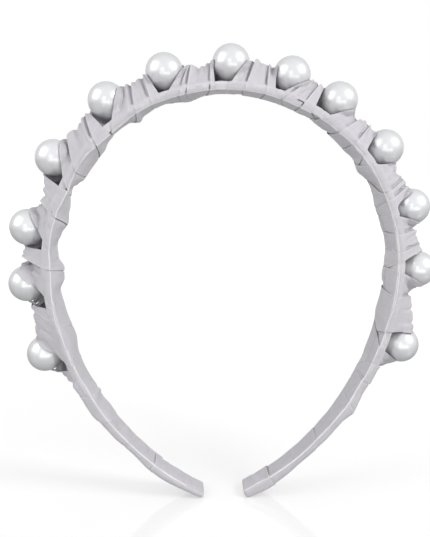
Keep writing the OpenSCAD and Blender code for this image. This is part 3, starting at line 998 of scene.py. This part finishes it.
def string_pearls():
    """Drilled beads: a sphere's outside, a small round at each mouth and the bore."""
    sides, arcs = 72, 44
    mouth = math.asin((BORE_R + 0.4) / PEARL_R)
    swing = np.linspace(mouth, math.pi - mouth, arcs)
    profile = [(-PEARL_R * math.cos(a), PEARL_R * math.sin(a)) for a in swing]
    end = PEARL_R * math.cos(mouth)
    lip, bore = (end - 0.14, BORE_R + 0.12), (end - 0.4, BORE_R)
    profile += [lip, bore, (-bore[0], bore[1]), (-lip[0], lip[1])]
    turn = np.linspace(0, 2 * math.pi, sides, endpoint=False)
    faces = grid_faces(len(profile), sides, closed=True)
    side = np.array([0.0, 1.0, 0.0])
    for number, (heading, centre) in enumerate(zip(PEARL_HEADINGS, PEARL_CENTRES), start=1):
        axis = along_crown(heading)
        up = np.array([-axis[2], 0.0, axis[0]])
        points = [
            centre + x * axis + r * (math.cos(t) * up + math.sin(t) * side) for x, r in profile for t in turn
        ]
        node = f"pearl_{number:02d}"
        dress(new_piece(node + "_bead", points, faces, NACRE), node, node)


# where the knots lie: past the end pearls (deg), and outward
KNOT_REACH = 5.4
KNOT_OFF = 4.6
# how far the thread stays below the ridge, and its greatest height between the pearls
UNDER_RIDGE = 1.4
THREAD_TOP = 7.8


def thread_route():
    """The thread's middle line, from knot to knot: through every pearl and under each ridge."""
    reach = PEARL_R + MOUTH_REACH
    outlines = [group["ridge"] for group in GROUPS.values()]
    route = [on_band(PEARL_HEADINGS[0] - KNOT_REACH, KNOT_OFF)]
    for index, heading in enumerate(PEARL_HEADINGS):
        mouth = reach * along_crown(heading)
        route += [PEARL_CENTRES[index] - mouth, PEARL_CENTRES[index] + mouth]
        if index < len(PEARL_HEADINGS) - 1:
            spots = np.linspace(heading, PEARL_HEADINGS[index + 1], 25)
            gaps = on_band(spots, BEAD_OFF)[:, None] - PEARL_CENTRES[index:index + 2]
            spots = spots[np.linalg.norm(gaps, axis=-1).min(axis=-1) > reach + 0.5]
            height = ridge_height(spots, sorted(outlines[index + 1])) - UNDER_RIDGE
            route += list(on_band(spots, np.minimum(height, THREAD_TOP)))
    route.append(on_band(PEARL_HEADINGS[-1] + KNOT_REACH, KNOT_OFF))
    return np.array(route)


TWIST = {"Strand Radius": 0.19 * MM, "Lay Radius": 0.2 * MM, "Twist Length": 2.2 * MM, "Step": 0.16 * MM}
STRANDS = 3


def twist_tree():
    """Geometry Nodes that twist strands together round a curve."""
    tree = bpy.data.node_groups.new("twisted_thread", "GeometryNodeTree")
    for in_out in ("INPUT", "OUTPUT"):
        tree.interface.new_socket("Geometry", in_out=in_out, socket_type="NodeSocketGeometry")
    for name in TWIST:
        tree.interface.new_socket(name, in_out="INPUT", socket_type="NodeSocketFloat")
    tree.interface.new_socket("Strands", in_out="INPUT", socket_type="NodeSocketInt")

    def add(kind, inputs=None, output=0, **settings):
        return add_node(tree, kind, inputs, **settings).outputs[output]

    def scalar(operation, first, second=0.0):
        return add("ShaderNodeMath", {0: first, 1: second}, operation=operation)

    def vector(operation, inputs):
        return add("ShaderNodeVectorMath", inputs, operation=operation)

    given = add_node(tree, "NodeGroupInput").outputs
    paces = {"Curve": given["Geometry"], "Length": given["Step"]}
    evened = add("GeometryNodeResampleCurve", paces, mode="LENGTH")
    amount = {"Geometry": evened, "Amount": given["Strands"]}
    copies = add_node(tree, "GeometryNodeDuplicateElements", amount, domain="SPLINE").outputs
    numbered = {"Geometry": copies[0], "Name": "strand", "Value": copies["Duplicate Index"]}
    stored = add("GeometryNodeStoreNamedAttribute", numbered, data_type="FLOAT", domain="CURVE")
    strand = add("GeometryNodeInputNamedAttribute", {"Name": "strand"}, "Attribute", data_type="FLOAT")
    run = add("GeometryNodeSplineParameter", output="Length")
    turned = scalar("DIVIDE", run, given["Twist Length"])
    apart = scalar("DIVIDE", strand, given["Strands"])
    angle = scalar("MULTIPLY", scalar("ADD", turned, apart), 2 * math.pi)
    normal = add("GeometryNodeInputNormal")
    across = vector("CROSS_PRODUCT", {0: add("GeometryNodeInputTangent"), 1: normal})
    along_normal = vector("SCALE", {0: normal, "Scale": scalar("COSINE", angle)})
    along_across = vector("SCALE", {0: across, "Scale": scalar("SINE", angle)})
    around = vector("ADD", {0: along_normal, 1: along_across})
    offset = vector("SCALE", {0: around, "Scale": given["Lay Radius"]})
    laid = add("GeometryNodeSetPosition", {"Geometry": stored, "Offset": offset})
    circle = add("GeometryNodeCurvePrimitiveCircle", {"Resolution": 6, "Radius": given["Strand Radius"]})
    tube = add("GeometryNodeCurveToMesh", {"Curve": laid, "Profile Curve": circle, "Fill Caps": True})
    realised = add("GeometryNodeRealizeInstances", {0: tube})
    finished = add("GeometryNodeSetMaterial", {"Geometry": realised, "Material": THREAD_FIBRE})
    add_node(tree, "NodeGroupOutput", {0: finished})
    return tree


def lay_thread():
    curve = bpy.data.curves.new("thread_route", "CURVE")
    curve.dimensions = "3D"
    spline = curve.splines.new("POLY")
    route = thread_route()
    spline.points.add(len(route) - 1)
    for point, place in zip(spline.points, route):
        point.co = (*(place * MM), 1.0)
    carrier = in_scene("thread_carrier", curve)
    tree = twist_tree()
    twist = carrier.modifiers.new("twisted_thread", "NODES")
    twist.node_group = tree
    values = {**TWIST, "Strands": STRANDS}
    for socket in tree.interface.items_tree:
        if socket.name in values:
            twist[socket.identifier] = values[socket.name]
    made = carrier.evaluated_get(bpy.context.evaluated_depsgraph_get())
    mesh = bpy.data.meshes.new_from_object(made, preserve_all_data_layers=True)
    bpy.data.objects.remove(carrier)
    piece = in_scene("thread_twist", mesh)
    dress(piece, "band", "thread")


# ---- the studio ----

# name: place, size and power of each lamp, all of which face the origin
LAMPS = {
    "key": ((0.52, -0.28, 0.36), (0.26, 0.26), 2.4),
    "spot": ((-0.12, -0.58, 0.14), (0.05, 0.05), 0.2),
    "fill": ((-0.52, -0.2, 0.34), (0.5, 0.5), 1.65),
    "bounce": ((0.05, -0.45, -0.065), (0.6, 0.1), 0.5),
}
WORLD_STRENGTH = 0.52
FLOOR_REACH = 3.0
FLOOR_GLOW = 0.47


def stand_for(name, data, place, facing):
    """An object for a camera or lamp, at a place and facing a direction."""
    stand = in_scene(name, data)
    stand.location = place
    stand.rotation_mode = "QUATERNION"
    stand.rotation_quaternion = facing.to_track_quat("-Z", "Y")
    return stand


def place_camera():
    camera = bpy.data.cameras.new("camera")
    camera.lens = 46.11
    camera.sensor_width = 36
    camera.clip_start = 0.01
    camera.clip_end = 20
    yaw, pitch = math.radians(2.37), math.radians(-9.51)
    level = math.cos(pitch)
    forward = Vector((math.sin(yaw) * level, math.cos(yaw) * level, math.sin(pitch)))
    place = Vector((-12.4, -226.7, 37.1)) * MM
    scene.camera = stand_for("camera", camera, place, forward)


def place_lamps():
    for name, (place, size, power) in LAMPS.items():
        lamp = bpy.data.lights.new(name, "AREA")
        lamp.shape = "RECTANGLE"
        lamp.size, lamp.size_y = size
        lamp.energy = power
        stand_for(name, lamp, Vector(place), -Vector(place))


def light_world():
    """Pale even light from all round, and plain white wherever the world itself is seen."""
    world = bpy.data.worlds.new("studio")
    scene.world = world
    world.use_nodes = True
    tree = world.node_tree
    lit = tree.nodes["Background"]
    join(tree, lit, {"Color": WHITE, "Strength": WORLD_STRENGTH})
    shown = add_node(tree, "ShaderNodeBackground", {"Color": WHITE, "Strength": 1.0})
    rays = add_node(tree, "ShaderNodeLightPath").outputs
    seen = rays["Is Camera Ray"]
    for kind in ("Is Glossy Ray", "Is Transmission Ray"):
        seen = add_node(tree, "ShaderNodeMath", {0: seen, 1: rays[kind]}, operation="MAXIMUM").outputs[0]
    blend = add_node(tree, "ShaderNodeMixShader", {0: seen, 1: lit.outputs[0], 2: shown.outputs[0]})
    join(tree, tree.nodes["World Output"], {"Surface": blend.outputs[0]})


def lay_floor(height):
    mesh = bpy.data.meshes.new("floor")
    signs = [(-1, -1), (1, -1), (1, 1), (-1, 1)]
    mesh.from_pydata([(x * FLOOR_REACH, y * FLOOR_REACH, height) for x, y in signs], [], [(0, 1, 2, 3)])
    floor = in_scene("floor", mesh)
    material = Material("floor_white", Base_Color=(0.5, 0.5, 0.5, 1), Roughness=0.06, Emission_Color=WHITE)
    seen = material.add("ShaderNodeLightPath", output="Is Camera Ray")
    material.feed({"Emission Strength": seen * FLOOR_GLOW})
    mesh.materials.append(material.data)


# ---- building ----

place_camera()
light_world()
place_lamps()
lay_floor(cad_box[0].z - 0.0002)

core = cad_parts["core_band"]
core.data.materials.clear()
core.data.materials.append(BAND_PLASTIC)

wrap_base()
wrap_arm("left", 81)
wrap_arm("right", 82)
cover_tip("left", 139.6, [(16.2, 0.0, -0.2, 0.35), (9.0, 0.4, 0.2, 1.6), (5.0, -0.5, -0.25, 1.0)], 0.7)
cover_tip("right", 145.8, [(3.4, 0.5, -0.2, 0.8), (6.0, 0.3, 0.15, 1.0)], 0.42)
wind_groups()
string_pearls()
lay_thread()

scene.view_settings.view_transform = "Standard"
